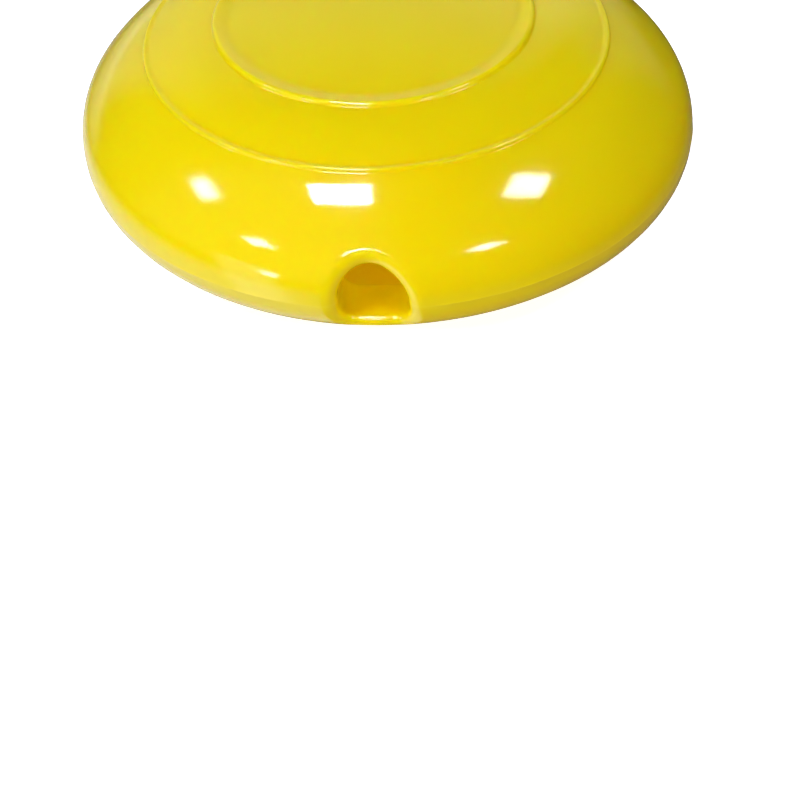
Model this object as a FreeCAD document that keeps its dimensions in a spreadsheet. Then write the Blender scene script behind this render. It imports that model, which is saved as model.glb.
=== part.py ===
import FreeCAD, Part
import math
import os

import Sketcher

# Squeaky foraging disc for dogs. A soft vinyl disc, round in plan, with a low dome above and a flat
# base below. Dry food rolls out of one arched mouth in the rim, and a squeaker stands on the axis
# under the dome. Frame: the origin is the centre of the base, +Z is up and the mouth faces -Y.
# Lengths are in millimetres.

# Driving dimensions: the alias of the cell and its value.
SIZES = (
    # Casing, outside form
    ("disc_radius", 80.0),
    ("equator_height", 17.0),
    ("dome_height", 33.0),
    ("crown_radius", 312.0),
    ("crown_margin", 2.0),
    ("rim_radius", 18.0),
    ("seam_drop", 1.0),
    ("lower_rim_radius", 12.0),
    ("belly_radius", 70.0),
    ("wall", 3.0),
    # Raised rings on the dome
    ("inner_ring_radius", 39.8),
    ("outer_ring_radius", 59.6),
    ("bead_radius", 2.1),
    ("bead_sink", 1.25),
    # Treat mouth
    ("mouth_width", 17.0),
    ("mouth_height", 15.3),
    ("mouth_sill", 9.5),
    ("mouth_corner", 4.0),
    ("mouth_lip", 3.1),
    ("sill_lip", 1.5),
    ("neck_wall", 2.5),
    ("neck_depth", 18.0),
    # Bonded seam
    ("tongue_height", 3.0),
    ("tongue_thickness", 1.4),
    ("seam_clearance", 0.1),
    # Base and the seats inside the casing
    ("base_recess_radius", 40.0),
    ("base_recess_depth", 1.0),
    ("base_hole_radius", 12.0),
    ("press_boss_radius", 13.0),
    ("press_boss_wall", 3.0),
    ("press_boss_drop", 2.7),
    ("press_gap", 0.3),
    ("locating_height", 1.3),
    ("locating_wall", 2.2),
    ("seat_clearance", 0.2),
    # Squeaker well and its vanes
    ("well_bore", 20.9),
    ("well_wall", 1.5),
    ("well_height", 28.0),
    ("well_flange_radius", 30.0),
    ("well_flange_thickness", 1.6),
    ("catch_depth", 1.1),
    ("catch_height", 1.2),
    ("vane_thickness", 1.8),
    ("vane_height", 24.0),
    ("vane_reach", 48.0),
    ("vane_curve", 45.0),
    ("vane_angle", 45.0),
    # Squeaker base
    ("base_flange_thickness", 2.0),
    ("socket_bore", 8.0),
    ("socket_wall", 1.8),
    ("socket_height", 5.6),
    ("spigot_radius", 16.4),
    ("spigot_wall", 1.8),
    ("spigot_height", 4.4),
    # Bellows, its cap and its clamp
    ("bellows_wall", 1.1),
    ("fold_crest_radius", 18.8),
    ("fold_root_radius", 16.1),
    ("fit_clearance", 0.1),
    ("clamp_wall", 1.6),
    ("clamp_height", 3.4),
    ("cap_radius", 17.4),
    ("cap_thickness", 1.4),
    ("cap_skirt_wall", 1.6),
    ("cap_skirt_height", 3.0),
    # Reed, its housing and the grille
    ("grille_thickness", 1.6),
    ("housing_fit", 0.05),
    ("lower_housing_height", 4.0),
    ("upper_housing_height", 3.6),
    ("housing_chamfer", 0.4),
    ("window_width", 4.2),
    ("window_end", 5.6),
    ("reed_length", 10.0),
    ("reed_width", 3.2),
    ("reed_thickness", 0.2),
    ("reed_tab", 1.6),
    ("reed_play", 0.12),
    ("sound_hole_radius", 1.0),
    ("sound_hole_circle", 4.6),
)

VANE_COUNT = 4
FOLD_COUNT = 6
SOUND_HOLE_COUNT = 6

# Sketcher's numbers for the origin, its axes and the points of an edge
ROOT = -1
HORIZONTAL = -1
VERTICAL = -2
START = 1
END = 2
CENTRE = 3

# How near, in millimetres, a point on a surface has to be
TOUCH = 0.001
# How far, in millimetres, a cutting or a keeping block runs past the material
CLEAR = 10

doc = FreeCAD.newDocument("foraging_disc")
sheet = doc.addObject("Spreadsheet::Sheet", "sizes")


class Size:
    """A length that keeps the spreadsheet formula it comes from."""

    def __init__(self, value, formula):
        self.value = value
        self.formula = formula

    def __add__(self, other):
        other = as_size(other)
        return Size(self.value + other.value, f"({self.formula} + {other.formula})")

    def __sub__(self, other):
        other = as_size(other)
        return Size(self.value - other.value, f"({self.formula} - {other.formula})")

    def __mul__(self, other):
        other = as_size(other)
        return Size(self.value * other.value, f"({self.formula} * {other.formula})")

    def __truediv__(self, other):
        other = as_size(other)
        return Size(self.value / other.value, f"({self.formula} / {other.formula})")

    def __neg__(self):
        return Size(-self.value, f"(-{self.formula})")

    def root(self):
        return Size(math.sqrt(self.value), f"sqrt({self.formula})")


def as_size(number):
    """A plain number as a Size, so that both can be mixed in a formula."""
    if isinstance(number, Size):
        return number
    return Size(float(number), f"{number}")


class Sizes:
    """Every driving dimension as an attribute."""


def fill_sheet():
    """Write the driving dimensions into the spreadsheet and return them as Sizes."""
    sizes = Sizes()
    for row, (alias, value) in enumerate(SIZES, start=1):
        sheet.set(f"A{row}", alias)
        sheet.set(f"B{row}", str(value))
        sheet.setAlias(f"B{row}", alias)
        setattr(sizes, alias, Size(value, f"sizes.{alias}"))
    doc.recompute()
    return sizes


s = fill_sheet()
ZERO = Size(0.0, "0")

# Levels and radii that several pieces share
top = s.equator_height + s.dome_height
floor = s.wall
seam = s.equator_height - s.seam_drop
neck_end = s.disc_radius - s.neck_depth
outside = s.disc_radius + CLEAR
boss_bottom = top - s.wall - s.press_boss_drop
cap_top = boss_bottom - s.press_gap
cap_underside = cap_top - s.cap_thickness
well_outer = s.well_bore + s.well_wall
flange_top = floor + s.base_flange_thickness
grille_bottom = s.base_recess_depth
housing_bottom = grille_bottom + s.grille_thickness
reed_plane = housing_bottom + s.lower_housing_height
housing_radius = s.socket_bore - s.housing_fit
clamp_edge = -(s.reed_length / 2) + s.reed_tab

# The crown runs a little past the inner ring. The shoulder leaves it there without a kink and runs into
# the rim the same way, which leaves it only one radius.
crown_edge = s.inner_ring_radius + s.crown_margin
crown_fall = s.crown_radius - (s.crown_radius * s.crown_radius - crown_edge * crown_edge).root()
edge_past_rim = crown_edge - s.disc_radius + s.rim_radius
edge_over_rim = s.dome_height - crown_fall
edge_slope = edge_past_rim * crown_edge + edge_over_rim * (s.crown_radius - crown_fall)
edge_span = edge_past_rim * edge_past_rim + edge_over_rim * edge_over_rim
rim_square = s.rim_radius * s.rim_radius
shoulder_radius = (edge_span - rim_square) / ((edge_slope / s.crown_radius - s.rim_radius) * 2)


def bind(item, name, size):
    """Tie one property of an object to its spreadsheet formula."""
    item.setExpression(name, as_size(size).formula)


def new_body(name):
    return doc.addObject("PartDesign::Body", name)


def origin_plane(body, role):
    return next(feature for feature in body.Origin.OriginFeatures if feature.Role == role)


class Outline:
    """A sketch on one of its body's own planes, with each size bound to the spreadsheet."""

    def __init__(self, body, name, role, lift=None, turn=None):
        self.sketch = body.newObject("Sketcher::SketchObject", name)
        self.sketch.AttachmentSupport = [(origin_plane(body, role), "")]
        self.sketch.MapMode = "FlatFace"
        axis_z = FreeCAD.Vector(0, 0, 1)
        if turn is not None:
            self.sketch.AttachmentOffset = FreeCAD.Placement(FreeCAD.Vector(), axis_z, turn.value)
            bind(self.sketch, ".AttachmentOffset.Rotation.Angle", turn)
        if lift is not None:
            bind(self.sketch, ".AttachmentOffset.Base.z", lift)

    def dimension(self, kind, *reference, size):
        """One dimension, driven by the formula of its size."""
        index = self.sketch.addConstraint(Sketcher.Constraint(kind, *reference, size.value))
        bind(self.sketch, f"Constraints[{index}]", size)

    def relate(self, kind, *reference):
        self.sketch.addConstraint(Sketcher.Constraint(kind, *reference))

    def place_x(self, edge, point, x):
        if x.formula == ZERO.formula:
            self.relate("PointOnObject", edge, point, VERTICAL)
        else:
            self.dimension("DistanceX", ROOT, START, edge, point, size=x)

    def place_y(self, edge, point, y):
        if y.formula == ZERO.formula:
            self.relate("PointOnObject", edge, point, HORIZONTAL)
        else:
            self.dimension("DistanceY", ROOT, START, edge, point, size=y)

    def place(self, edge, point, x, y):
        self.place_x(edge, point, x)
        self.place_y(edge, point, y)

    def line(self, start, end):
        """A line between two points given as plain numbers."""
        first = FreeCAD.Vector(start[0], start[1], 0)
        second = FreeCAD.Vector(end[0], end[1], 0)
        return self.sketch.addGeometry(Part.LineSegment(first, second), False)

    def arc(self, centre, radius, start_angle, end_angle, construction=False):
        """An arc, counterclockwise between two angles in degrees, given as plain numbers."""
        circle = Part.Circle(FreeCAD.Vector(centre[0], centre[1], 0), FreeCAD.Vector(0, 0, 1), radius)
        curve = Part.ArcOfCircle(circle, math.radians(start_angle), math.radians(end_angle))
        return self.sketch.addGeometry(curve, construction)

    def circle(self, x, y, radius):
        """A full circle, placed by its centre."""
        middle = FreeCAD.Vector(x.value, y.value, 0)
        edge = self.sketch.addGeometry(Part.Circle(middle, FreeCAD.Vector(0, 0, 1), radius.value), False)
        self.place(edge, CENTRE, x, y)
        self.dimension("Radius", edge, size=radius)
        return edge

    def polygon(self, points):
        """A closed outline of straight sides through points given as pairs of Sizes."""
        plain = [(x.value, y.value) for x, y in points]
        count = len(points)
        edges = [self.line(plain[i], plain[(i + 1) % count]) for i in range(count)]
        for i, edge in enumerate(edges):
            self.relate("Coincident", edge, END, edges[(i + 1) % count], START)
            self.place(edge, START, *points[i])

    def rectangle(self, left, bottom, right, upper):
        self.polygon([(left, bottom), (right, bottom), (right, upper), (left, upper)])


def revolve(body, outline):
    feature = body.newObject("PartDesign::Revolution", f"{outline.sketch.Name}_turned")
    feature.Profile = outline.sketch
    feature.ReferenceAxis = (outline.sketch, ["V_Axis"])
    feature.Angle = 360
    return feature


def pad(body, outline, length, midplane=False):
    feature = body.newObject("PartDesign::Pad", f"{outline.sketch.Name}_pad")
    feature.Profile = outline.sketch
    feature.Midplane = midplane
    bind(feature, "Length", length)
    return feature


def pocket_up(body, outline, depth):
    """Cut upwards from a sketch that lies level."""
    feature = body.newObject("PartDesign::Pocket", f"{outline.sketch.Name}_cut")
    feature.Profile = outline.sketch
    feature.Reversed = True
    bind(feature, "Length", depth)
    return feature


def polar_pattern(body, feature, count):
    """Copies of a feature about the vertical axis."""
    pattern = body.newObject("PartDesign::PolarPattern", f"{feature.Name}_around")
    pattern.Originals = [feature]
    vertical = next(item for item in body.Origin.OriginFeatures if item.Role == "Z_Axis")
    pattern.Axis = (vertical, [""])
    pattern.Angle = 360
    pattern.Occurrences = count
    body.Tip = pattern
    return pattern


def boolean(kind, name, base, tool):
    """A Part boolean of two objects: Part::Cut, Part::Common or Part::Fuse."""
    result = doc.addObject(kind, name)
    result.Base = base
    result.Tool = tool
    return result


def dome_arcs():
    """Centres and joining angles of the dome's three arcs, as plain numbers for a sketch to start from."""
    crown = (0.0, top.value - s.crown_radius.value)
    rim = (s.disc_radius.value - s.rim_radius.value, s.equator_height.value)
    upper_angle = math.acos(crown_edge.value / s.crown_radius.value)
    reach = s.crown_radius.value - shoulder_radius.value
    shoulder = (crown[0] + reach * math.cos(upper_angle), crown[1] + reach * math.sin(upper_angle))
    lower_angle = math.atan2(rim[1] - shoulder[1], rim[0] - shoulder[0])
    return crown, shoulder, rim, math.degrees(upper_angle), math.degrees(lower_angle)


def draw_beaded_arc(outline, centre, size, start_angle, end_angle, ring_radius):
    """An arc interrupted by a round bead at ring_radius. Returns its lower and upper stretches."""
    reach = size - s.bead_sink
    bead_angle = math.acos((ring_radius.value - centre[0]) / reach.value)
    bead_x = ring_radius.value
    bead_y = centre[1] + reach.value * math.sin(bead_angle)
    squares = size.value ** 2 + reach.value ** 2 - s.bead_radius.value ** 2
    half_width = math.acos(squares / (2 * size.value * reach.value))
    foot_angles = []
    for side_angle in (bead_angle - half_width, bead_angle + half_width):
        foot_x = centre[0] + size.value * math.cos(side_angle)
        foot_y = centre[1] + size.value * math.sin(side_angle)
        foot_angles.append(math.degrees(math.atan2(foot_y - bead_y, foot_x - bead_x)))
    below = math.degrees(bead_angle - half_width)
    above = math.degrees(bead_angle + half_width)
    lower = outline.arc(centre, size.value, start_angle, below)
    bead = outline.arc((bead_x, bead_y), s.bead_radius.value, foot_angles[0], foot_angles[1])
    upper = outline.arc(centre, size.value, above, end_angle)
    outline.relate("Coincident", lower, END, bead, START)
    outline.relate("Coincident", bead, END, upper, START)
    outline.relate("Coincident", lower, CENTRE, upper, CENTRE)
    outline.relate("Equal", lower, upper)
    outline.place_x(bead, CENTRE, ring_radius)
    outline.dimension("Distance", lower, CENTRE, bead, CENTRE, size=reach)
    outline.dimension("Radius", bead, size=s.bead_radius)
    return lower, upper


def draw_dome(outline, inset, beaded):
    """The crown, shoulder and rim arcs, set in by inset. Returns both ends of the chain."""
    crown, shoulder, rim, upper_angle, lower_angle = dome_arcs()
    seam_angle = -math.degrees(math.asin(s.seam_drop.value / s.rim_radius.value))
    crown_size = s.crown_radius - inset
    shoulder_size = shoulder_radius - inset
    rim_size = s.rim_radius - inset
    if beaded:
        crown_low, crown_high = draw_beaded_arc(
            outline, crown, crown_size, upper_angle, 90, s.inner_ring_radius
        )
        shoulder_low, shoulder_high = draw_beaded_arc(
            outline, shoulder, shoulder_size, lower_angle, upper_angle, s.outer_ring_radius
        )
    else:
        crown_high = outline.arc(crown, crown_size.value, upper_angle, 90)
        shoulder_high = outline.arc(shoulder, shoulder_size.value, lower_angle, upper_angle)
        crown_low = crown_high
        shoulder_low = shoulder_high
    rim_arc = outline.arc(rim, rim_size.value, seam_angle, lower_angle)
    outline.relate("Tangent", crown_low, START, shoulder_high, END)
    outline.relate("Tangent", shoulder_low, START, rim_arc, END)
    outline.place_x(crown_high, CENTRE, ZERO)
    outline.place(crown_high, END, ZERO, top - inset)
    outline.place(rim_arc, CENTRE, s.disc_radius - s.rim_radius, s.equator_height)
    outline.place_y(rim_arc, START, s.equator_height - s.seam_drop * rim_size / s.rim_radius)
    outline.dimension("Radius", crown_high, size=crown_size)
    outline.dimension("Radius", shoulder_high, size=shoulder_size)
    outline.dimension("Radius", rim_arc, size=rim_size)
    return crown_high, rim_arc


def draw_casing(outline, inset, beaded):
    """Half of the casing's section: the dome's arcs, the lower rim, the belly, the base and the axis."""
    crown_arc, rim_arc = draw_dome(outline, inset, beaded)
    seam_angle = -math.asin(s.seam_drop.value / s.rim_radius.value)
    step = s.rim_radius.value - s.lower_rim_radius.value
    rim_x = s.disc_radius.value - s.rim_radius.value + step * math.cos(seam_angle)
    rim_y = s.equator_height.value + step * math.sin(seam_angle)
    belly_rise = s.belly_radius.value - rim_y
    reach = math.sqrt((s.belly_radius.value - s.lower_rim_radius.value) ** 2 - belly_rise ** 2)
    belly_x = rim_x - reach
    belly_angle = math.degrees(math.atan2(-belly_rise, reach))
    lower_size = s.lower_rim_radius - inset
    belly_size = s.belly_radius - inset
    lower_arc = outline.arc((rim_x, rim_y), lower_size.value, belly_angle, math.degrees(seam_angle))
    belly_arc = outline.arc((belly_x, s.belly_radius.value), belly_size.value, -90, belly_angle)
    base_line = outline.line((0.0, as_size(inset).value), (belly_x, as_size(inset).value))
    axis_line = outline.line((0.0, top.value - as_size(inset).value), (0.0, as_size(inset).value))
    outline.relate("Tangent", rim_arc, START, lower_arc, END)
    outline.relate("Tangent", lower_arc, START, belly_arc, END)
    outline.relate("Tangent", belly_arc, START, base_line, END)
    outline.relate("Coincident", base_line, START, axis_line, END)
    outline.relate("Coincident", axis_line, START, crown_arc, END)
    outline.relate("Horizontal", base_line)
    outline.place(base_line, START, ZERO, as_size(inset))
    outline.dimension("Radius", lower_arc, size=lower_size)
    outline.dimension("Radius", belly_arc, size=belly_size)


def casing_outside():
    """The solid form of the disc, with its two ring beads, base recess and squeaker hole."""
    body = new_body("casing_outside")
    section = Outline(body, "outside_section", "XZ_Plane")
    draw_casing(section, ZERO, True)
    revolve(body, section)
    recess = Outline(body, "recess_circle", "XY_Plane")
    recess.circle(ZERO, ZERO, s.base_recess_radius)
    pocket_up(body, recess, s.base_recess_depth)
    hole = Outline(body, "squeaker_hole_circle", "XY_Plane")
    hole.circle(ZERO, ZERO, s.base_hole_radius)
    pocket_up(body, hole, s.wall + CLEAR)
    return body


def draw_mouth(outline, grow):
    """The mouth's arch, legs, rounded corners and sill, grown outwards by grow."""
    half = s.mouth_width / 2
    arch_radius = half + grow
    arch_z = s.mouth_sill + s.mouth_height - half
    corner_size = s.mouth_corner + grow
    corner_x = half - s.mouth_corner
    corner_z = s.mouth_sill + s.mouth_corner
    arch = outline.arc((0.0, arch_z.value), arch_radius.value, 0, 180)
    left_leg = outline.line((-arch_radius.value, arch_z.value), (-arch_radius.value, corner_z.value))
    left = outline.arc((-corner_x.value, corner_z.value), corner_size.value, 180, 270)
    sill_z = (s.mouth_sill - grow).value
    sill = outline.line((-corner_x.value, sill_z), (corner_x.value, sill_z))
    right = outline.arc((corner_x.value, corner_z.value), corner_size.value, 270, 360)
    right_leg = outline.line((arch_radius.value, corner_z.value), (arch_radius.value, arch_z.value))
    edges = (arch, left_leg, left, sill, right, right_leg)
    for i, edge in enumerate(edges):
        outline.relate("Coincident", edge, END, edges[(i + 1) % len(edges)], START)
    outline.place(arch, CENTRE, ZERO, arch_z)
    outline.place_y(arch, START, arch_z)
    outline.place_y(arch, END, arch_z)
    outline.place(left, CENTRE, -corner_x, corner_z)
    outline.place_y(left, START, corner_z)
    outline.place_x(left, END, -corner_x)
    outline.place(right, CENTRE, corner_x, corner_z)
    outline.place_x(right, START, corner_x)
    outline.place_y(right, END, corner_z)
    outline.dimension("Radius", arch, size=arch_radius)
    outline.dimension("Radius", left, size=corner_size)
    outline.dimension("Radius", right, size=corner_size)


def mouth_block(name, grow, start):
    """A straight bar of the mouth's section, from start to outside the rim."""
    body = new_body(name)
    section = Outline(body, f"{name}_section", "XZ_Plane", lift=start)
    draw_mouth(section, grow)
    pad(body, section, outside - start)
    return body


def ring_block(name, inner, outer, bottom, upper):
    """A plain ring about the axis."""
    body = new_body(name)
    section = Outline(body, f"{name}_section", "XZ_Plane")
    section.rectangle(inner, bottom, outer, upper)
    revolve(body, section)
    return body


def casing_hollow():
    """The room inside the casing, less the neck, the press boss and the locating ring."""
    body = new_body("casing_inside")
    section = Outline(body, "inside_section", "XZ_Plane")
    draw_casing(section, s.wall, False)
    revolve(body, section)
    boss_inner = s.press_boss_radius - s.press_boss_wall
    boss = ring_block("press_boss", boss_inner, s.press_boss_radius, boss_bottom, top)
    ring_inner = s.well_flange_radius + s.seat_clearance
    ring_outer = ring_inner + s.locating_wall
    ring = ring_block("locating_ring", ring_inner, ring_outer, ZERO, floor + s.locating_height)
    neck = mouth_block("mouth_neck", s.neck_wall, neck_end)
    hollow = body
    for tool in (boss, ring, neck):
        hollow = boolean("Part::Cut", f"hollow_less_{tool.Name}", hollow, tool)
    return hollow


def touches(piece, point):
    """True if a point lies on the surface of a piece."""
    return piece.Shape.Shells[0].distToShape(Part.Vertex(point))[0] < TOUCH


def mouth_rim_edges(shape):
    """Numbers of the edges where the mouth's tunnel breaks through the outside of the casing."""
    numbers = []
    for number, edge in enumerate(shape.Edges, start=1):
        middle = edge.valueAt((edge.FirstParameter + edge.LastParameter) / 2)
        if touches(outside_form, middle) and touches(tunnel, middle):
            numbers.append(number)
    return numbers


def lip_radius(edge, parameter):
    """Radius of the mouth's lip at a place of its rim: full down to the corners, small on the sill."""
    height = edge.valueAt(parameter).z - s.mouth_sill.value
    share = min(1.0, max(0.0, height / s.mouth_corner.value))
    return s.sill_lip.value + (s.mouth_lip.value - s.sill_lip.value) * share


def goes_round_left(edge):
    """True if an edge of the mouth's rim runs counterclockwise about the middle of the mouth."""
    middle_z = s.mouth_sill.value + s.mouth_height.value / 2
    first = edge.valueAt(edge.FirstParameter)
    last = edge.valueAt(edge.LastParameter)
    return first.x * (last.z - middle_z) > last.x * (first.z - middle_z)


def lip_edges(shape):
    """The mouth's rim edges, each with the lip's radius at both ends, in the order of the first edge."""
    numbers = mouth_rim_edges(shape)
    direction = goes_round_left(shape.Edges[numbers[0] - 1])
    edges = []
    for number in numbers:
        edge = shape.Edges[number - 1]
        ends = [lip_radius(edge, edge.FirstParameter), lip_radius(edge, edge.LastParameter)]
        if goes_round_left(edge) != direction:
            ends.reverse()
        edges.append((number, *ends))
    return edges


def half_zone(name, is_upper):
    """The room of one half of the casing, stepped at the seam for the tongue."""
    gap = s.seam_clearance if is_upper else ZERO
    step_radius = s.disc_radius - s.wall + s.tongue_thickness + gap
    step_top = seam + s.tongue_height + gap
    far = top + CLEAR if is_upper else as_size(-CLEAR)
    body = new_body(name)
    section = Outline(body, f"{name}_section", "XZ_Plane")
    section.polygon(
        [
            (ZERO, far),
            (ZERO, step_top),
            (step_radius, step_top),
            (step_radius, seam),
            (outside, seam),
            (outside, far),
        ]
    )
    revolve(body, section)
    return body


def squeaker_well():
    """The stiff insert round the squeaker, with a foot flange, a catch and curved vanes."""
    body = new_body("squeaker_well")
    section = Outline(body, "well_section", "XZ_Plane")
    catch_bottom = flange_top + s.seat_clearance
    catch_inner = s.well_bore - s.catch_depth
    section.polygon(
        [
            (s.well_bore, floor),
            (s.well_flange_radius, floor),
            (s.well_flange_radius, floor + s.well_flange_thickness),
            (well_outer, floor + s.well_flange_thickness),
            (well_outer, floor + s.well_height),
            (s.well_bore, floor + s.well_height),
            (s.well_bore, catch_bottom + s.catch_height + s.catch_depth),
            (catch_inner, catch_bottom + s.catch_height),
            (catch_inner, catch_bottom),
            (s.well_bore, catch_bottom),
        ]
    )
    revolve(body, section)
    vane_foot = floor + s.well_flange_thickness
    plan = Outline(body, "vane_plan", "XY_Plane", lift=vane_foot, turn=s.vane_angle)
    root_x = well_outer - s.well_wall / 2
    near = s.vane_curve - s.vane_thickness / 2
    far = s.vane_curve + s.vane_thickness / 2
    end_angle = math.degrees(math.asin((s.vane_reach.value - root_x.value) / far.value)) - 90
    inner = plan.arc((root_x.value, s.vane_curve.value), near.value, -90, end_angle)
    outer = plan.arc((root_x.value, s.vane_curve.value), far.value, -90, end_angle)
    near_end_x = root_x + (s.vane_reach - root_x) * near / far
    for arc, radius, end_x in ((inner, near, near_end_x), (outer, far, s.vane_reach)):
        plan.place(arc, CENTRE, root_x, s.vane_curve)
        plan.place_x(arc, START, root_x)
        plan.place_x(arc, END, end_x)
        plan.dimension("Radius", arc, size=radius)
    root_line = plan.line((root_x.value, near.value - s.vane_curve.value), (root_x.value, 0.0))
    tip_line = plan.line((near_end_x.value, 0.0), (s.vane_reach.value, 0.0))
    plan.relate("Coincident", root_line, START, inner, START)
    plan.relate("Coincident", root_line, END, outer, START)
    plan.relate("Coincident", tip_line, START, inner, END)
    plan.relate("Coincident", tip_line, END, outer, END)
    vane = pad(body, plan, s.vane_height)
    polar_pattern(body, vane, VANE_COUNT)
    return body


def squeaker_base():
    """The squeaker's plug: flange, neck through the base, spigot for the bellows and reed socket."""
    body = new_body("squeaker_base")
    section = Outline(body, "base_section", "XZ_Plane")
    neck_radius = s.base_hole_radius - s.seat_clearance
    flange_radius = s.well_bore - s.seat_clearance
    socket_outer = s.socket_bore + s.socket_wall
    section.polygon(
        [
            (s.socket_bore, grille_bottom),
            (neck_radius, grille_bottom),
            (neck_radius, floor),
            (flange_radius, floor),
            (flange_radius, flange_top),
            (s.spigot_radius, flange_top),
            (s.spigot_radius, flange_top + s.spigot_height),
            (s.spigot_radius - s.spigot_wall, flange_top + s.spigot_height),
            (s.spigot_radius - s.spigot_wall, flange_top),
            (socket_outer, flange_top),
            (socket_outer, flange_top + s.socket_height),
            (s.socket_bore, flange_top + s.socket_height),
        ]
    )
    revolve(body, section)
    return body


def squeaker_bellows():
    """The folded air bulb: a cuff on the spigot, the folds and a cuff round the cap's skirt."""
    body = new_body("squeaker_bellows")
    section = Outline(body, "bellows_section", "XZ_Plane")
    cuff_inner = s.spigot_radius + s.fit_clearance
    folds_bottom = flange_top + s.spigot_height
    folds_top = cap_underside - s.cap_skirt_height
    pitch = (folds_top - folds_bottom) / FOLD_COUNT
    inside = [(cuff_inner, flange_top), (cuff_inner, folds_bottom)]
    for fold in range(FOLD_COUNT):
        inside.append((s.fold_crest_radius - s.bellows_wall, folds_bottom + pitch * (fold + 0.5)))
        inside.append((s.fold_root_radius - s.bellows_wall, folds_bottom + pitch * (fold + 1)))
    inside.append((s.fold_root_radius - s.bellows_wall, cap_underside))
    wall_outside = [(x + s.bellows_wall, z) for x, z in reversed(inside)]
    section.polygon(inside + wall_outside)
    revolve(body, section)
    return body


def bellows_clamp_ring():
    """The band that holds the lower cuff on its spigot."""
    inner = s.spigot_radius + s.bellows_wall + s.fit_clearance * 2
    upper = flange_top + s.clamp_height
    return ring_block("bellows_clamp_ring", inner, inner + s.clamp_wall, flange_top, upper)


def bellows_cap():
    """The plate that the dome pushes on, with a skirt inside the upper cuff."""
    body = new_body("bellows_cap")
    section = Outline(body, "cap_section", "XZ_Plane")
    skirt_outer = s.fold_root_radius - s.bellows_wall - s.fit_clearance
    skirt_bottom = cap_underside - s.cap_skirt_height
    section.polygon(
        [
            (ZERO, cap_underside),
            (skirt_outer - s.cap_skirt_wall, cap_underside),
            (skirt_outer - s.cap_skirt_wall, skirt_bottom),
            (skirt_outer, skirt_bottom),
            (skirt_outer, cap_underside),
            (s.cap_radius, cap_underside),
            (s.cap_radius, cap_top),
            (ZERO, cap_top),
        ]
    )
    revolve(body, section)
    return body


def reed_housing(name, is_upper):
    """One half of the whistle: a round block with an air window and half of the reed's clamp slot."""
    height = s.upper_housing_height if is_upper else s.lower_housing_height
    bottom = reed_plane if is_upper else housing_bottom
    clamp_depth = s.reed_thickness / 2 + s.reed_play
    clamp_bottom = reed_plane if is_upper else reed_plane - clamp_depth
    body = new_body(name)
    section = Outline(body, f"{name}_section", "XZ_Plane")
    outer_chamfer = housing_radius - s.housing_chamfer
    if is_upper:
        points = [(ZERO, bottom), (housing_radius, bottom)]
        points += [(housing_radius, bottom + height - s.housing_chamfer)]
        points += [(outer_chamfer, bottom + height), (ZERO, bottom + height)]
    else:
        points = [(ZERO, bottom), (outer_chamfer, bottom), (housing_radius, bottom + s.housing_chamfer)]
        points += [(housing_radius, bottom + height), (ZERO, bottom + height)]
    section.polygon(points)
    revolve(body, section)
    window = Outline(body, f"{name}_window", "XY_Plane", lift=bottom)
    half_window = s.window_width / 2
    window.rectangle(clamp_edge, -half_window, s.window_end, half_window)
    pocket_up(body, window, height)
    slot = Outline(body, f"{name}_clamp_slot", "XY_Plane", lift=clamp_bottom)
    half_slot = s.reed_width / 2 + s.reed_play
    slot.rectangle(-(s.reed_length / 2) - s.reed_play, -half_slot, clamp_edge, half_slot)
    pocket_up(body, slot, clamp_depth)
    return body


def reed():
    """The thin strip, clamped at one end, with a rounded free end."""
    body = new_body("reed")
    plan = Outline(body, "reed_plan", "XY_Plane", lift=reed_plane)
    half_width = s.reed_width / 2
    tail_x = -(s.reed_length / 2)
    nose_x = s.reed_length / 2 - half_width
    nose = plan.arc((nose_x.value, 0.0), half_width.value, -90, 90)
    near = plan.line((tail_x.value, -half_width.value), (nose_x.value, -half_width.value))
    far = plan.line((nose_x.value, half_width.value), (tail_x.value, half_width.value))
    tail = plan.line((tail_x.value, half_width.value), (tail_x.value, -half_width.value))
    edges = (near, nose, far, tail)
    for i, edge in enumerate(edges):
        plan.relate("Coincident", edge, END, edges[(i + 1) % len(edges)], START)
    plan.place(nose, CENTRE, nose_x, ZERO)
    plan.place_x(nose, START, nose_x)
    plan.place_x(nose, END, nose_x)
    plan.dimension("Radius", nose, size=half_width)
    plan.place(near, START, tail_x, -half_width)
    plan.place(far, END, tail_x, half_width)
    pad(body, plan, s.reed_thickness, midplane=True)
    return body


def squeaker_grille():
    """The round cap under the whistle, with a centre hole and a ring of sound holes."""
    body = new_body("squeaker_grille")
    plan = Outline(body, "grille_plan", "XY_Plane", lift=grille_bottom)
    plan.circle(ZERO, ZERO, housing_radius)
    plan.circle(ZERO, ZERO, s.sound_hole_radius)
    pad(body, plan, s.grille_thickness)
    hole = Outline(body, "sound_hole", "XY_Plane", lift=grille_bottom)
    hole.circle(s.sound_hole_circle, ZERO, s.sound_hole_radius)
    cut = pocket_up(body, hole, s.grille_thickness)
    polar_pattern(body, cut, SOUND_HOLE_COUNT)
    return body


def check_objects():
    """Stop if anything in the document failed."""
    for item in doc.Objects:
        if "Invalid" in item.State or "Error" in item.State:
            raise RuntimeError(f"{item.Name} failed: {item.State}")


def check_piece(piece):
    """Stop if a sub-part isn't one valid solid."""
    shape = piece.Shape
    if shape.isNull() or not shape.isValid():
        raise RuntimeError(f"{piece.Label} has no valid shape")
    if len(shape.Solids) != 1:
        raise RuntimeError(f"{piece.Label} has {len(shape.Solids)} solids")


outside_form = casing_outside()
hollow = casing_hollow()
walls = boolean("Part::Cut", "casing_walls", outside_form, hollow)
tunnel = mouth_block("mouth_tunnel", ZERO, neck_end - s.wall)
open_casing = boolean("Part::Cut", "casing_open", walls, tunnel)
doc.recompute()
check_objects()

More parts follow.
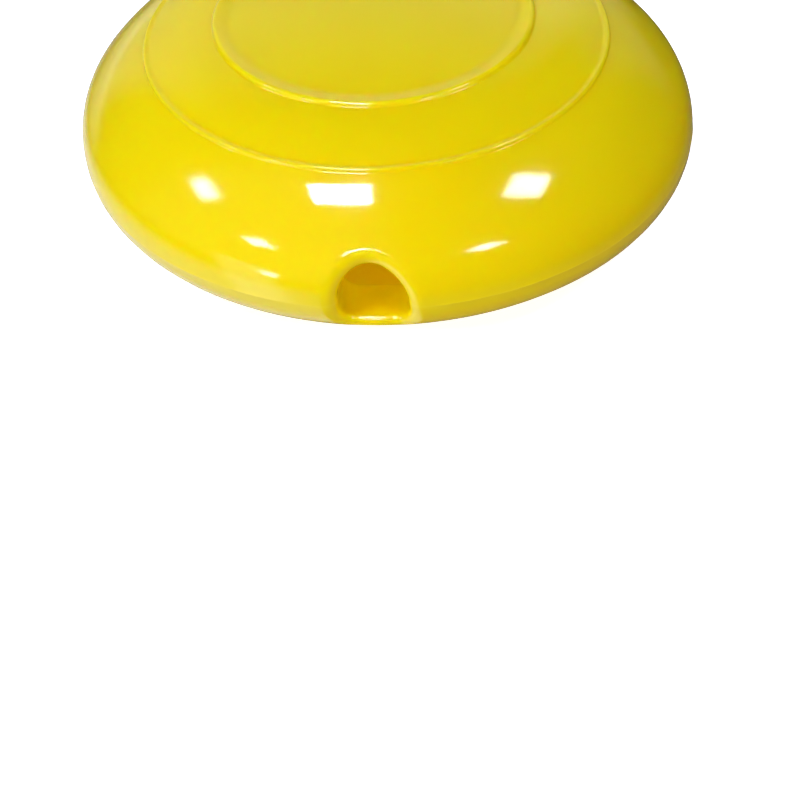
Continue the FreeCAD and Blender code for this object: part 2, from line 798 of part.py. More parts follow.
lipped_casing = doc.addObject("Part::Fillet", "casing_lipped")
lipped_casing.Base = open_casing
lipped_casing.Edges = lip_edges(open_casing.Shape)
doc.recompute()
check_objects()

pieces = [
    boolean("Part::Common", "upper_shell", lipped_casing, half_zone("upper_zone", True)),
    boolean("Part::Common", "lower_shell", lipped_casing, half_zone("lower_zone", False)),
    squeaker_well(),
    squeaker_base(),
    squeaker_bellows(),
    bellows_clamp_ring(),
    bellows_cap(),
    reed_housing("reed_housing_lower", False),
    reed_housing("reed_housing_upper", True),
    reed(),
    squeaker_grille(),
]
doc.recompute()
check_objects()

os.makedirs("parts", exist_ok=True)
for piece in pieces:
    piece.Label = piece.Name
    check_piece(piece)
    print(f"{piece.Label}: {piece.Shape.Volume / 1000:.3f} cm3")
    piece.Shape.exportStep(f"parts/{piece.Label}.step")
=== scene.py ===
import math

import bmesh
import bpy
from mathutils import Matrix, Vector, noise


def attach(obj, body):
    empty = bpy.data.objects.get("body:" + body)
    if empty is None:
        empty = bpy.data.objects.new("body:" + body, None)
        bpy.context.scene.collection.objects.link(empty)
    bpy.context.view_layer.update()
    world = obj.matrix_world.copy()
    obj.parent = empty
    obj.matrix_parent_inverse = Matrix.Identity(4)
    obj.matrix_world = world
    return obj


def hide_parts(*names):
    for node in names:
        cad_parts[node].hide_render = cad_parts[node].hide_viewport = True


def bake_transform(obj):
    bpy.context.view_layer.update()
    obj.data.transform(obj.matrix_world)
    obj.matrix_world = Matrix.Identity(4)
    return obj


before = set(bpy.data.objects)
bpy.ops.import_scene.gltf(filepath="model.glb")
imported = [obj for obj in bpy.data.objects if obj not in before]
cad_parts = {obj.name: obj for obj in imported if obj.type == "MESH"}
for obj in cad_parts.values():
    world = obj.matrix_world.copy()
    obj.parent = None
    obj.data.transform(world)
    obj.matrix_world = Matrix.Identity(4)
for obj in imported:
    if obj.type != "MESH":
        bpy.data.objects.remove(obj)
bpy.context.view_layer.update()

# Squeaky foraging disc. The soft casing and the bellows are modelled here over the frame's plain
# solids; every other piece is the frame's own, with a finish. Lengths are in millimetres and are
# scaled to metres when a mesh is made. +Z is up, the treat mouth faces -Y.
MM = 0.001

# The casing's section, with the same sizes as the solid that it stands for
DISC_RADIUS = 80.0
EQUATOR = 17.0
TOP = 50.0
CROWN_RADIUS = 312.0
RIM_RADIUS = 18.0
LOWER_RIM_RADIUS = 12.0
BELLY_RADIUS = 70.0
SEAM = 16.0
WALL = 3.0
# The crown's arc ends just outside the inner ring bead
CROWN_EDGE = 41.8
BASE_RECESS_RADIUS = 40.0
BASE_RECESS_DEPTH = 1.0
BASE_HOLE_RADIUS = 12.0
PRESS_BOSS_INNER = 10.0
PRESS_BOSS_OUTER = 13.0
PRESS_BOSS_BOTTOM = 44.3
LOCATING_INNER = 30.2
LOCATING_OUTER = 32.4
LOCATING_TOP = 4.3

# The ring beads: radius of the crest on the disc, height, the crest's round, and for the side within
# and the side without the slope in degrees and the radius of the hollow foot
BEADS = (
    (40.2, 0.91, 1.1, (17.0, 9.0), (62.0, 0.6)),
    (59.3, 0.60, 0.65, (35.0, 2.0), (60.0, 0.32)),
)

# The treat mouth and its neck
MOUTH_HALF_WIDTH = 8.5
MOUTH_SILL = 9.5
MOUTH_TOP = 24.8
MOUTH_CORNER = 4.0
MOUTH_LIP = 3.1
SILL_LIP = 1.5
NECK_WALL = 2.5
NECK_END = 62.0

# The grid of the casing's mesh: columns all the way round, and the window in it that holds the mouth,
# with its columns on each side of the middle, its heights and its rows above and below the seam
AROUND = 240
WINDOW_COLUMNS = 9
WINDOW_TOP = 36.5
WINDOW_BOTTOM = 3.4
ROWS_ABOVE_SEAM = 18
ROWS_BELOW_SEAM = 11
FLASH_FOOT = 0.3

# Lengths and directions smaller than this count as nothing
TINY = 1e-6


def arc(centre, radius, start, end, count):
    """Points of an arc in the (radius, height) plane, angles in radians, both ends included."""
    points = []
    for i in range(count + 1):
        angle = start + (end - start) * i / count
        points.append((centre[0] + radius * math.cos(angle), centre[1] + radius * math.sin(angle)))
    return points


def casing_arcs(inset):
    """The five arcs of the casing's section from the axis down to the flat base."""
    crown = (0.0, TOP - CROWN_RADIUS)
    rim = (DISC_RADIUS - RIM_RADIUS, EQUATOR)
    crown_angle = math.acos(CROWN_EDGE / CROWN_RADIUS)
    edge = (CROWN_EDGE, crown[1] + CROWN_RADIUS * math.sin(crown_angle))
    past = edge[0] - rim[0]
    over = edge[1] - rim[1]
    slope = past * math.cos(crown_angle) + over * math.sin(crown_angle)
    shoulder_radius = (past ** 2 + over ** 2 - RIM_RADIUS ** 2) / (2 * (slope - RIM_RADIUS))
    shoulder = (
        edge[0] - shoulder_radius * math.cos(crown_angle),
        edge[1] - shoulder_radius * math.sin(crown_angle),
    )
    shoulder_angle = math.atan2(rim[1] - shoulder[1], rim[0] - shoulder[0])
    seam_angle = -math.asin((EQUATOR - SEAM) / RIM_RADIUS)
    step = RIM_RADIUS - LOWER_RIM_RADIUS
    lower_rim = (rim[0] + step * math.cos(seam_angle), rim[1] + step * math.sin(seam_angle))
    rise = BELLY_RADIUS - lower_rim[1]
    reach = math.sqrt((BELLY_RADIUS - LOWER_RIM_RADIUS) ** 2 - rise ** 2)
    belly = (lower_rim[0] - reach, BELLY_RADIUS)
    belly_angle = math.atan2(-rise, reach)
    return (
        (crown, CROWN_RADIUS - inset, math.pi / 2, crown_angle),
        (shoulder, shoulder_radius - inset, crown_angle, shoulder_angle),
        (rim, RIM_RADIUS - inset, shoulder_angle, seam_angle),
        (lower_rim, LOWER_RIM_RADIUS - inset, seam_angle, belly_angle),
        (belly, BELLY_RADIUS - inset, belly_angle, -math.pi / 2),
    )


ARC_POINTS = 400


def skin_line(inset):
    """A finely sampled section line of the casing's skin, from the axis to the flat base."""
    points = []
    for centre, radius, start, end in casing_arcs(inset):
        points += arc(centre, radius, start, end, ARC_POINTS)[1 if points else 0:]
    return points


def lengths_along(points):
    """Distance along a line of points up to each point."""
    total = [0.0]
    for (r0, z0), (r1, z1) in zip(points, points[1:]):
        total.append(total[-1] + math.hypot(r1 - r0, z1 - z0))
    return total


class BeadSide:
    """One side of a ring bead: a part of the crest's round, a straight slope and a hollow foot."""

    def __init__(self, height, crest, slope, foot):
        slope = math.radians(slope)
        self.height = height
        self.crest = crest
        self.fall = math.tan(slope)
        self.foot = foot
        self.crest_reach = crest * math.sin(slope)
        rounds = (crest + foot) * (1 - math.cos(slope))
        self.slope_reach = self.crest_reach + (height - rounds) / self.fall
        self.reach = self.slope_reach + foot * math.sin(slope)

    def rise(self, offset):
        """Height at a distance from the crest."""
        if offset < self.slope_reach:
            on_round = min(offset, self.crest_reach)
            height = self.height - self.crest + math.sqrt(self.crest ** 2 - on_round ** 2)
            return height - (offset - on_round) * self.fall
        if offset < self.reach:
            return self.foot - math.sqrt(self.foot ** 2 - (self.reach - offset) ** 2)
        return 0.0


class Bead:
    """A ring bead with its middle at a length along the skin."""

    def __init__(self, middle, height, crest, within, without):
        self.middle = middle
        self.within = BeadSide(height, crest, *within)
        self.without = BeadSide(height, crest, *without)

    def rise(self, length):
        offset = length - self.middle
        return self.without.rise(offset) if offset > 0 else self.within.rise(-offset)


class SkinLine:
    """A section line that can be read by its length, or by height where it is the rim's side."""

    def __init__(self, inset, beads=()):
        self.points = skin_line(inset)
        self.total = lengths_along(self.points)
        self.side = [(z, r) for r, z in self.points if r > DISC_RADIUS - 2 * RIM_RADIUS]
        self.side.reverse()
        self.beads = [Bead(self.length_at_radius(radius), *shape) for radius, *shape in beads]

    def length_at_radius(self, radius):
        """Length at which the upper part of the line reaches a radius."""
        for (r, _), (next_r, _), length in zip(self.points, self.points[1:], self.total):
            if r <= radius < next_r:
                return length
        raise ValueError(f"the section line doesn't reach radius {radius}")

    def length_at_height(self, height):
        """Length at which the line comes down to a height."""
        for (_, z), (_, next_z), length in zip(self.points, self.points[1:], self.total):
            if next_z <= height < z:
                return length
        raise ValueError(f"the section line doesn't reach height {height}")

    def at(self, length):
        """The point at a length, with the beads raised along the normal."""
        low, high = 0, len(self.total) - 1
        while high - low > 1:
            middle = (low + high) // 2
            if self.total[middle] <= length:
                low = middle
            else:
                high = middle
        (r0, z0), (r1, z1) = self.points[low], self.points[high]
        share = (length - self.total[low]) / (self.total[high] - self.total[low])
        run = math.hypot(r1 - r0, z1 - z0)
        rise = sum(bead.rise(length) for bead in self.beads)
        outward, upward = (z0 - z1) / run, (r1 - r0) / run
        return r0 + (r1 - r0) * share + outward * rise, z0 + (z1 - z0) * share + upward * rise

    def side_radius(self, height):
        """Radius of the rim's side at a height."""
        low, high = 0, len(self.side) - 1
        while high - low > 1:
            middle = (low + high) // 2
            if self.side[middle][0] <= height:
                low = middle
            else:
                high = middle
        (z0, r0), (z1, r1) = self.side[low], self.side[high]
        return r0 + (r1 - r0) * (height - z0) / (z1 - z0)

    def depth(self, x, z):
        """How far the rim's side stands out towards the mouth's side, at x and z."""
        return math.sqrt(self.side_radius(z) ** 2 - x ** 2)


def spread(start, end, step):
    """Even stations from start up to, but without, end."""
    count = max(1, round((end - start) / step))
    return [start + (end - start) * i / count for i in range(count)]


CORNER_STEPS = 3


def rounded_corner(before, corner, after, radius):
    """The points of a small round at a square corner of a section line."""
    first = Vector(before) - Vector(corner)
    second = Vector(after) - Vector(corner)
    start = Vector(corner) + first.normalized() * radius
    end = Vector(corner) + second.normalized() * radius
    centre = start + end - Vector(corner)
    points = []
    for i in range(CORNER_STEPS + 1):
        angle = math.pi / 2 * i / CORNER_STEPS
        place = centre + (start - centre) * math.cos(angle) + (end - centre) * math.sin(angle)
        points.append(tuple(place))
    return points


def rounded_path(points, radius):
    """A section line with every inner corner rounded."""
    path = [points[0]]
    for before, corner, after in zip(points, points[1:], points[2:]):
        path += rounded_corner(before, corner, after, radius)
    return path + [points[-1]]


# Spacing of the mesh's rows along the skin: on the plain dome, on a bead and a little way beside it,
# and on the sides
PLAIN_STEP = 2.4
BEAD_STEP = 0.1
BEAD_MARGIN = 0.2
SIDE_STEP = 1.6
EDGE_ROUND = 0.35


def window_stations(skin):
    """Lengths of the rows through the mouth's window, with a close pair on each side of the seam."""
    window_top = skin.length_at_height(WINDOW_TOP)
    seam = skin.length_at_height(SEAM)
    window_bottom = skin.length_at_height(WINDOW_BOTTOM)
    above = seam - FLASH_FOOT
    below = seam + FLASH_FOOT
    stations = spread(window_top, above, (above - window_top) / (ROWS_ABOVE_SEAM - 1))
    stations += [above, seam]
    stations += spread(below, window_bottom, (window_bottom - below) / (ROWS_BELOW_SEAM - 1))
    return stations


def outer_rows(skin):
    """Rows of the outer skin from the axis to the squeaker's hole, and the window's first row."""
    stations = []
    place = 0.0
    for bead in skin.beads:
        start = bead.middle - bead.within.reach - BEAD_MARGIN
        crest = bead.middle - bead.within.crest_reach
        stations += spread(place, start, PLAIN_STEP)
        stations += spread(start, crest, 2 * BEAD_STEP)
        place = bead.middle + bead.without.reach + BEAD_MARGIN
        stations += spread(crest, place, BEAD_STEP)
    stations += spread(place, skin.length_at_height(WINDOW_TOP), SIDE_STEP)
    first = len(stations)
    stations += window_stations(skin)
    stations += spread(skin.length_at_height(WINDOW_BOTTOM), skin.total[-1], SIDE_STEP)
    rows = [skin.at(length) for length in stations]
    foot = [
        skin.points[-1],
        (BASE_RECESS_RADIUS, 0.0),
        (BASE_RECESS_RADIUS, BASE_RECESS_DEPTH),
        (BASE_HOLE_RADIUS, BASE_RECESS_DEPTH),
        (BASE_HOLE_RADIUS, (BASE_RECESS_DEPTH + WALL) / 2),
    ]
    return rows + rounded_path(foot, EDGE_ROUND), first


def inner_rows(skin):
    """Rows of the inner skin from the axis to the squeaker's hole, and the window's first row."""
    boss_inner = skin.length_at_radius(PRESS_BOSS_INNER)
    boss_outer = skin.length_at_radius(PRESS_BOSS_OUTER)
    boss = [
        skin.at(boss_inner),
        (PRESS_BOSS_INNER, PRESS_BOSS_BOTTOM),
        (PRESS_BOSS_OUTER, PRESS_BOSS_BOTTOM),
        skin.at(boss_outer),
    ]
    rows = [skin.at(length) for length in spread(0.0, boss_inner, PLAIN_STEP)]
    rows += rounded_path(boss, EDGE_ROUND)
    stations = spread(boss_outer, skin.length_at_height(WINDOW_TOP), PLAIN_STEP)[1:]
    first = len(rows) + len(stations)
    stations += window_stations(skin)
    stations += spread(skin.length_at_height(WINDOW_BOTTOM), skin.total[-1], SIDE_STEP)
    rows += [skin.at(length) for length in stations]
    floor = [
        skin.points[-1],
        (LOCATING_OUTER, WALL),
        (LOCATING_OUTER, LOCATING_TOP),
        (LOCATING_INNER, LOCATING_TOP),
        (LOCATING_INNER, WALL),
        (BASE_HOLE_RADIUS, WALL),
        (BASE_HOLE_RADIUS, (BASE_RECESS_DEPTH + WALL) / 2),
    ]
    return rows + rounded_path(floor, EDGE_ROUND)[:-1], first


def mouth_outline_hit(direction):
    """Point and outward normal where a ray from the mouth's middle meets its outline, in (x, z)."""
    arch_z = MOUTH_TOP - MOUTH_HALF_WIDTH
    corner_x = MOUTH_HALF_WIDTH - MOUTH_CORNER
    corner_z = MOUTH_SILL + MOUTH_CORNER
    middle = Vector((0.0, (MOUTH_TOP + MOUTH_SILL) / 2))

    def on_circle(centre, radius):
        offset = middle - Vector(centre)
        along = offset.dot(direction)
        reach = -along + math.sqrt(along ** 2 - offset.length_squared + radius ** 2)
        point = middle + direction * reach
        return point, (point - Vector(centre)) / radius

    point, normal = on_circle((0.0, arch_z), MOUTH_HALF_WIDTH)
    if point.y >= arch_z:
        return point, normal
    side = math.copysign(1.0, direction.x)
    if abs(direction.x) > TINY:
        reach = MOUTH_HALF_WIDTH / abs(direction.x)
        point = middle + direction * reach
        if point.y >= corner_z:
            return point, Vector((side, 0.0))
    reach = (MOUTH_SILL - middle.y) / direction.y
    point = middle + direction * reach
    if abs(point.x) <= corner_x:
        return point, Vector((0.0, -1.0))
    return on_circle((side * corner_x, corner_z), MOUTH_CORNER)


def lip_radius(height):
    """Radius of the lip: full down to the mouth's corners, small along the sill."""
    share = min(1.0, max(0.0, (height - MOUTH_SILL) / MOUTH_CORNER))
    return SILL_LIP + (MOUTH_LIP - SILL_LIP) * share


LIP_STEPS = 8
LIP_PROBE = 0.01
LIP_HALVINGS = 40


def lip_arc(skin, point, normal):
    """The lip's round at one place of the outline: (distance out from the tunnel, depth) pairs.

    The round touches the tunnel's wall at distance 0 and the outer skin at its other end."""
    radius = lip_radius(point.y)

    def depth(distance):
        place = point + normal * distance
        return skin.depth(place.x, place.y)

    def inward(distance):
        """The skin's inward normal in the plane of the round, as (distance, depth) parts."""
        fall = (depth(distance + LIP_PROBE) - depth(distance - LIP_PROBE)) / (2 * LIP_PROBE)
        size = math.hypot(fall, 1.0)
        return fall / size, -1.0 / size

    low, high = 0.0, 3 * radius
    for _ in range(LIP_HALVINGS):
        touch = (low + high) / 2
        if touch + radius * inward(touch)[0] < radius:
            low = touch
        else:
            high = touch
    aside, back = inward(touch)
    centre_depth = depth(touch) + radius * back
    end_angle = math.atan2(-back, -aside)
    pairs = []
    for i in range(LIP_STEPS + 1):
        angle = math.pi + (end_angle - math.pi) * i / LIP_STEPS
        pairs.append((radius + radius * math.cos(angle), centre_depth + radius * math.sin(angle)))
    return pairs


# Rings of the mouth's mesh: over the skin up to the lip, crowded towards it, then down the tunnel,
# back along the neck's outside and over the inner skin
SKIN_RINGS = 7
SKIN_CROWDING = 1.5
TUNNEL_RINGS = 8
NECK_RINGS = 4
INNER_RINGS = 3
# The round edge at the neck's inner end: its radius, and points on it as shares of the radius,
# away from the wall's face and back from the end
NECK_END_ROUND = 0.6
NECK_END_POINTS = ((0.3, 0.18), (1.0, 0.0))


def window_loop(rows, first):
    """Grid places round the window, clockwise from its top left corner, as (row, column)."""
    last = first + ROWS_ABOVE_SEAM + ROWS_BELOW_SEAM
    left, right = -WINDOW_COLUMNS, WINDOW_COLUMNS
    loop = [(first, column) for column in range(left, right)]
    loop += [(row, right) for row in range(first, last)]
    loop += [(last, column) for column in range(right, left, -1)]
    loop += [(row, left) for row in range(last, first, -1)]
    return loop


def column_angle(column):
    return -math.pi / 2 + 2 * math.pi * column / AROUND


def grid_point(row, column):
    angle = column_angle(column)
    return Vector((row[0] * math.cos(angle), row[0] * math.sin(angle), row[1]))


def mouth_strands(outer_skin, inner_skin, outer_edge, inner_edge):
    """Points from the outer skin through the mouth to the inner one, for each place of the window."""
    middle = Vector((0.0, (MOUTH_TOP + MOUTH_SILL) / 2))
    tunnel_end = NECK_END + NECK_END_ROUND
    strands = []
    for outer_point, inner_point in zip(outer_edge, inner_edge):
        direction = (Vector((outer_point.x, outer_point.z)) - middle).normalized()
        point, normal = mouth_outline_hit(direction)
        lip = lip_arc(outer_skin, point, normal)
        touch = point + normal * lip[-1][0]
        strand = []
        for ring in range(1, SKIN_RINGS):
            share = (1 - ring / SKIN_RINGS) ** SKIN_CROWDING
            x = touch.x + (outer_point.x - touch.x) * share
            z = touch.y + (outer_point.z - touch.y) * share
            strand.append(Vector((x, -outer_skin.depth(x, z), z)))
        for distance, depth in reversed(lip):
            place = point + normal * distance
            strand.append(Vector((place.x, -depth, place.y)))
        start = lip[0][1]
        for ring in range(1, TUNNEL_RINGS + 1):
            depth = start + (tunnel_end - start) * ring / TUNNEL_RINGS
            strand.append(Vector((point.x, -depth, point.y)))
        for out, back in NECK_END_POINTS:
            place = point + normal * NECK_END_ROUND * out
            strand.append(Vector((place.x, -NECK_END - NECK_END_ROUND * back, place.y)))
        for out, back in (*reversed(NECK_END_POINTS), (0.0, 1.0)):
            place = point + normal * (NECK_WALL - NECK_END_ROUND * out)
            strand.append(Vector((place.x, -NECK_END - NECK_END_ROUND * back, place.y)))
        root = point + normal * NECK_WALL
        root_depth = inner_skin.depth(root.x, root.y)
        for ring in range(1, NECK_RINGS + 1):
            depth = tunnel_end + (root_depth - tunnel_end) * ring / NECK_RINGS
            strand.append(Vector((root.x, -depth, root.y)))
        for ring in range(1, INNER_RINGS):
            share = ring / INNER_RINGS
            x = root.x + (inner_point.x - root.x) * share
            z = root.y + (inner_point.z - root.y) * share
            strand.append(Vector((x, -inner_skin.depth(x, z), z)))
        strands.append(strand)
    return strands


def add_grid(bm, rows, first):
    """The skin of one section line turned about the axis, open at the mouth's window."""
    last = first + ROWS_ABOVE_SEAM + ROWS_BELOW_SEAM
    grid = []
    for index, row in enumerate(rows):
        if row[0] < TINY:
            grid.append([bm.verts.new(Vector((0.0, 0.0, row[1])))] * AROUND)
            continue
        ring = []
        for column in range(AROUND):
            inside = first < index < last and min(column, AROUND - column) < WINDOW_COLUMNS
            ring.append(None if inside else bm.verts.new(grid_point(row, column)))
        grid.append(ring)
    for index in range(len(rows) - 1):
        for column in range(AROUND):
            following = (column + 1) % AROUND
            corners = [grid[index][column], grid[index][following]]
            corners += [grid[index + 1][following], grid[index + 1][column]]
            in_rows = first <= index < last
            in_columns = column < WINDOW_COLUMNS or column >= AROUND - WINDOW_COLUMNS
            if in_rows and in_columns:
                continue
            bm.faces.new(list(dict.fromkeys(corners)))
    return grid


def casing_mesh():
    """The whole casing as one closed skin: outside, mouth, neck, inside and the squeaker's hole."""
    outer_skin = SkinLine(0.0, BEADS)
    inner_skin = SkinLine(WALL)
    outer, outer_first = outer_rows(outer_skin)
    inner, inner_first = inner_rows(inner_skin)
    bm = bmesh.new()
    outer_grid = add_grid(bm, outer, outer_first)
    inner_grid = add_grid(bm, inner, inner_first)
    for column in range(AROUND):
        following = (column + 1) % AROUND
        outer_end, inner_end = outer_grid[-1], inner_grid[-1]
        bm.faces.new((outer_end[column], outer_end[following], inner_end[following], inner_end[column]))
    outer_loop = [outer_grid[row][column] for row, column in window_loop(outer, outer_first)]
    inner_loop = [inner_grid[row][column] for row, column in window_loop(inner, inner_first)]
    outer_edge = [vert.co for vert in outer_loop]
    inner_edge = [vert.co for vert in inner_loop]
    strands = mouth_strands(outer_skin, inner_skin, outer_edge, inner_edge)
    loops = [outer_loop]
    for ring in range(len(strands[0])):
        loops.append([bm.verts.new(strand[ring]) for strand in strands])
    loops.append(inner_loop)
    count = len(outer_loop)
    for near, far in zip(loops, loops[1:]):
        for i in range(count):
            following = (i + 1) % count
            bm.faces.new((near[i], near[following], far[following], far[i]))
    bmesh.ops.recalc_face_normals(bm, faces=bm.faces)
    return bm


# How far from the seam a point still counts as on it, and the tolerance of the cut
SEAM_SNAP = 0.12
CUT_TOLERANCE = 1e-4


def keep_side(bm, upper):
    """Cut the casing level at the seam, keep one side and close the cut."""
    for vert in bm.verts:
        if abs(vert.co.z - SEAM) < SEAM_SNAP:
            vert.co.z = SEAM
    geometry = bm.verts[:] + bm.edges[:] + bm.faces[:]
    cut = bmesh.ops.bisect_plane(
        bm, geom=geometry, dist=CUT_TOLERANCE, plane_co=(0, 0, SEAM), plane_no=(0, 0, 1),
        clear_inner=upper, clear_outer=not upper,
    )
    cut_edges = [item for item in cut["geom_cut"] if isinstance(item, bmesh.types.BMEdge)]
    bmesh.ops.triangle_fill(bm, edges=cut_edges, use_beauty=True)
    bmesh.ops.recalc_face_normals(bm, faces=bm.faces)


# The seam shows only as a faint, uneven line of flash: its height, how much of it is everywhere, how
# far in from the widest line it reaches, and the scale of its unevenness
FLASH_HEIGHT = 0.11
FLASH_BASE = 0.35
FLASH_REACH = 0.2
FLASH_GRAIN = 0.16


def raise_flash(bm):
    """Push the seam's outer edge out a little, here more and there less."""
    for vert in bm.verts:
        radius = math.hypot(vert.co.x, vert.co.y)
        if abs(vert.co.z - SEAM) < SEAM_SNAP and radius > DISC_RADIUS - FLASH_REACH:
            coarse = noise.noise(vert.co * FLASH_GRAIN)
            fine = noise.noise(vert.co * FLASH_GRAIN * 3)
            out = 1 + FLASH_HEIGHT * max(0.0, FLASH_BASE + coarse + fine / 2) / radius
            vert.co.x *= out
            vert.co.y *= out


# In the photograph the soft casing sits a little to the left of its base: it leans about the middle
# of its widest line, and the lean fades out towards the base
LEAN = 0.08
LEAN_START = 4.4
LEAN_FULL = 8.4


def lean_casing(bm):
    """Shift the casing sideways, more the higher up, with a smooth start."""
    for vert in bm.verts:
        share = min(1.0, max(0.0, (vert.co.z - LEAN_START) / (LEAN_FULL - LEAN_START)))
        vert.co.x -= LEAN * (vert.co.z - EQUATOR) * share * share * (3 - 2 * share)


# Edges that bend by more degrees than this stay sharp
SHARP_ANGLE = 38.0


def finish_mesh(bm, name):
    """Turn a mesh in millimetres into an object in metres, smooth but for its sharp edges."""
    bmesh.ops.scale(bm, vec=(MM, MM, MM), verts=bm.verts)
    mesh = bpy.data.meshes.new(name)
    bm.to_mesh(mesh)
    bm.free()
    mesh.polygons.foreach_set("use_smooth", [True] * len(mesh.polygons))
    mesh.set_sharp_from_angle(angle=math.radians(SHARP_ANGLE))
    piece = bpy.data.objects.new(name, mesh)
    bpy.context.scene.collection.objects.link(piece)
    return piece


def casing_half(name, upper):
    """One half of the casing as a closed mesh of its own."""
    bm = casing_mesh()
    keep_side(bm, upper)
    raise_flash(bm)
    lean_casing(bm)
    return finish_mesh(bm, name)


# The bellows: folds between the cuff on its spigot and the cuff on the cap's skirt
BELLOWS_BOTTOM = 5.0
FOLDS_BOTTOM = 9.4
FOLDS_TOP = 39.6
BELLOWS_TOP = 42.6
FOLD_COUNT = 6
FOLD_ROOT = 16.1
FOLD_CREST = 18.8
CUFF_RADIUS = 17.6
BELLOWS_WALL = 1.1
BELLOWS_AROUND = 96
FOLD_STEPS = 10


def bellows_piece():
    """The folded air bulb, with round crests and roots."""
    outside = [(CUFF_RADIUS, BELLOWS_BOTTOM), (CUFF_RADIUS, FOLDS_BOTTOM)]
    middle = (FOLD_CREST + FOLD_ROOT) / 2
    swing = (FOLD_CREST - FOLD_ROOT) / 2
    steps = FOLD_COUNT * FOLD_STEPS
    for i in range(1, steps + 1):
        turn = 2 * math.pi * i / FOLD_STEPS
        height = FOLDS_BOTTOM + (FOLDS_TOP - FOLDS_BOTTOM) * i / steps
        outside.append((middle - swing * math.cos(turn), height))
    outside.append((FOLD_ROOT, BELLOWS_TOP))
    inside = [(radius - BELLOWS_WALL, height) for radius, height in reversed(outside)]
    section = outside + inside
    bm = bmesh.new()
    rings = []
    for radius, height in section:
        ring = []
        for i in range(BELLOWS_AROUND):
            angle = 2 * math.pi * i / BELLOWS_AROUND
            ring.append(bm.verts.new((radius * math.cos(angle), radius * math.sin(angle), height)))
        rings.append(ring)
    for i, ring in enumerate(rings):
        other = rings[(i + 1) % len(rings)]
        for j in range(BELLOWS_AROUND):
            following = (j + 1) % BELLOWS_AROUND
            bm.faces.new((ring[j], ring[following], other[following], other[j]))
    bmesh.ops.recalc_face_normals(bm, faces=bm.faces)
    return finish_mesh(bm, "air_bellows")


class Shader:
    """A node material built up by short calls."""

    def __init__(self, name):
        self.material = bpy.data.materials.new(name)
        self.material.use_nodes = True
        self.tree = self.material.node_tree
        self.surface = self.tree.nodes["Principled BSDF"]
        self.coordinates = self.tree.nodes.new("ShaderNodeTexCoord")

    def link(self, source, target):
        self.tree.links.new(source, target)

    def noise(self, scale, detail=2.0, roughness=0.5):
        """Fractal noise over the object's own coordinates, which are metres."""
        node = self.tree.nodes.new("ShaderNodeTexNoise")
        node.inputs["Scale"].default_value = scale
        node.inputs["Detail"].default_value = detail
        node.inputs["Roughness"].default_value = roughness
        self.link(self.coordinates.outputs["Object"], node.inputs["Vector"])
        return node.outputs["Fac"]

    def remap(self, value, low=0.0, high=1.0, from_low=0.3, from_high=0.7):
        """A value stretched to run from low to high."""
        node = self.tree.nodes.new("ShaderNodeMapRange")
        node.inputs["From Min"].default_value = from_low
        node.inputs["From Max"].default_value = from_high
        node.inputs["To Min"].default_value = low
        node.inputs["To Max"].default_value = high
        self.link(value, node.inputs["Value"])
        return node.outputs["Result"]

    def mix(self, factor, first, second):
        """A colour between two colours."""
        node = self.tree.nodes.new("ShaderNodeMix")
        node.data_type = "RGBA"
        self.link(factor, node.inputs["Factor"])
        for socket, colour in ((node.inputs["A"], first), (node.inputs["B"], second)):
            if isinstance(colour, tuple):
                socket.default_value = (*colour, 1.0)
            else:
                self.link(colour, socket)
        return node.outputs["Result"]

    def bump(self, height, distance, strength, before=None):
        """A bump of a height in metres, laid over an earlier one."""
        node = self.tree.nodes.new("ShaderNodeBump")
        node.inputs["Strength"].default_value = strength
        node.inputs["Distance"].default_value = distance
        self.link(height, node.inputs["Height"])
        if before is not None:
            self.link(before, node.inputs["Normal"])
        return node.outputs["Normal"]

    def height_from(self, level):
        """Distance up or down from a level."""
        parts = self.tree.nodes.new("ShaderNodeSeparateXYZ")
        self.link(self.coordinates.outputs["Object"], parts.inputs["Vector"])
        offset = self.tree.nodes.new("ShaderNodeMath")
        offset.operation = "SUBTRACT"
        offset.inputs[1].default_value = level
        self.link(parts.outputs["Z"], offset.inputs[0])
        size = self.tree.nodes.new("ShaderNodeMath")
        size.operation = "ABSOLUTE"
        self.link(offset.outputs["Value"], size.inputs[0])
        return size.outputs["Value"]

    def pointiness(self):
        """High on outer edges and low in hollows."""
        return self.tree.nodes.new("ShaderNodeNewGeometry").outputs["Pointiness"]

    def set(self, **values):
        """Constant values of the surface's sockets, by name."""
        for name, value in values.items():
            self.surface.inputs[name.replace("_", " ")].default_value = value

    def feed(self, **sources):
        """Links into the surface's sockets, by name."""
        for name, source in sources.items():
            self.link(source, self.surface.inputs[name.replace("_", " ")])


# The vinyl's colour, its clouding, and the paler yellow of its edges: partly rubbed wear and partly a
# painted glow of light shining through the thin edges
VINYL_YELLOW = (0.925, 0.73, 0.003)
VINYL_DEEP = (0.91, 0.705, 0.002)
VINYL_EDGE_WEAR_AND_GLOW = (0.93, 0.76, 0.02)
# How deep light runs into the vinyl, in metres, and the shares of that for red, green and blue
VINYL_DEPTH = 0.004
VINYL_SHARES = (1.0, 0.75, 0.04)
# Close to the bond of the seam no light runs in: from and up to these heights off it, in metres
SEAM_DENSE = (0.0004, 0.0030)


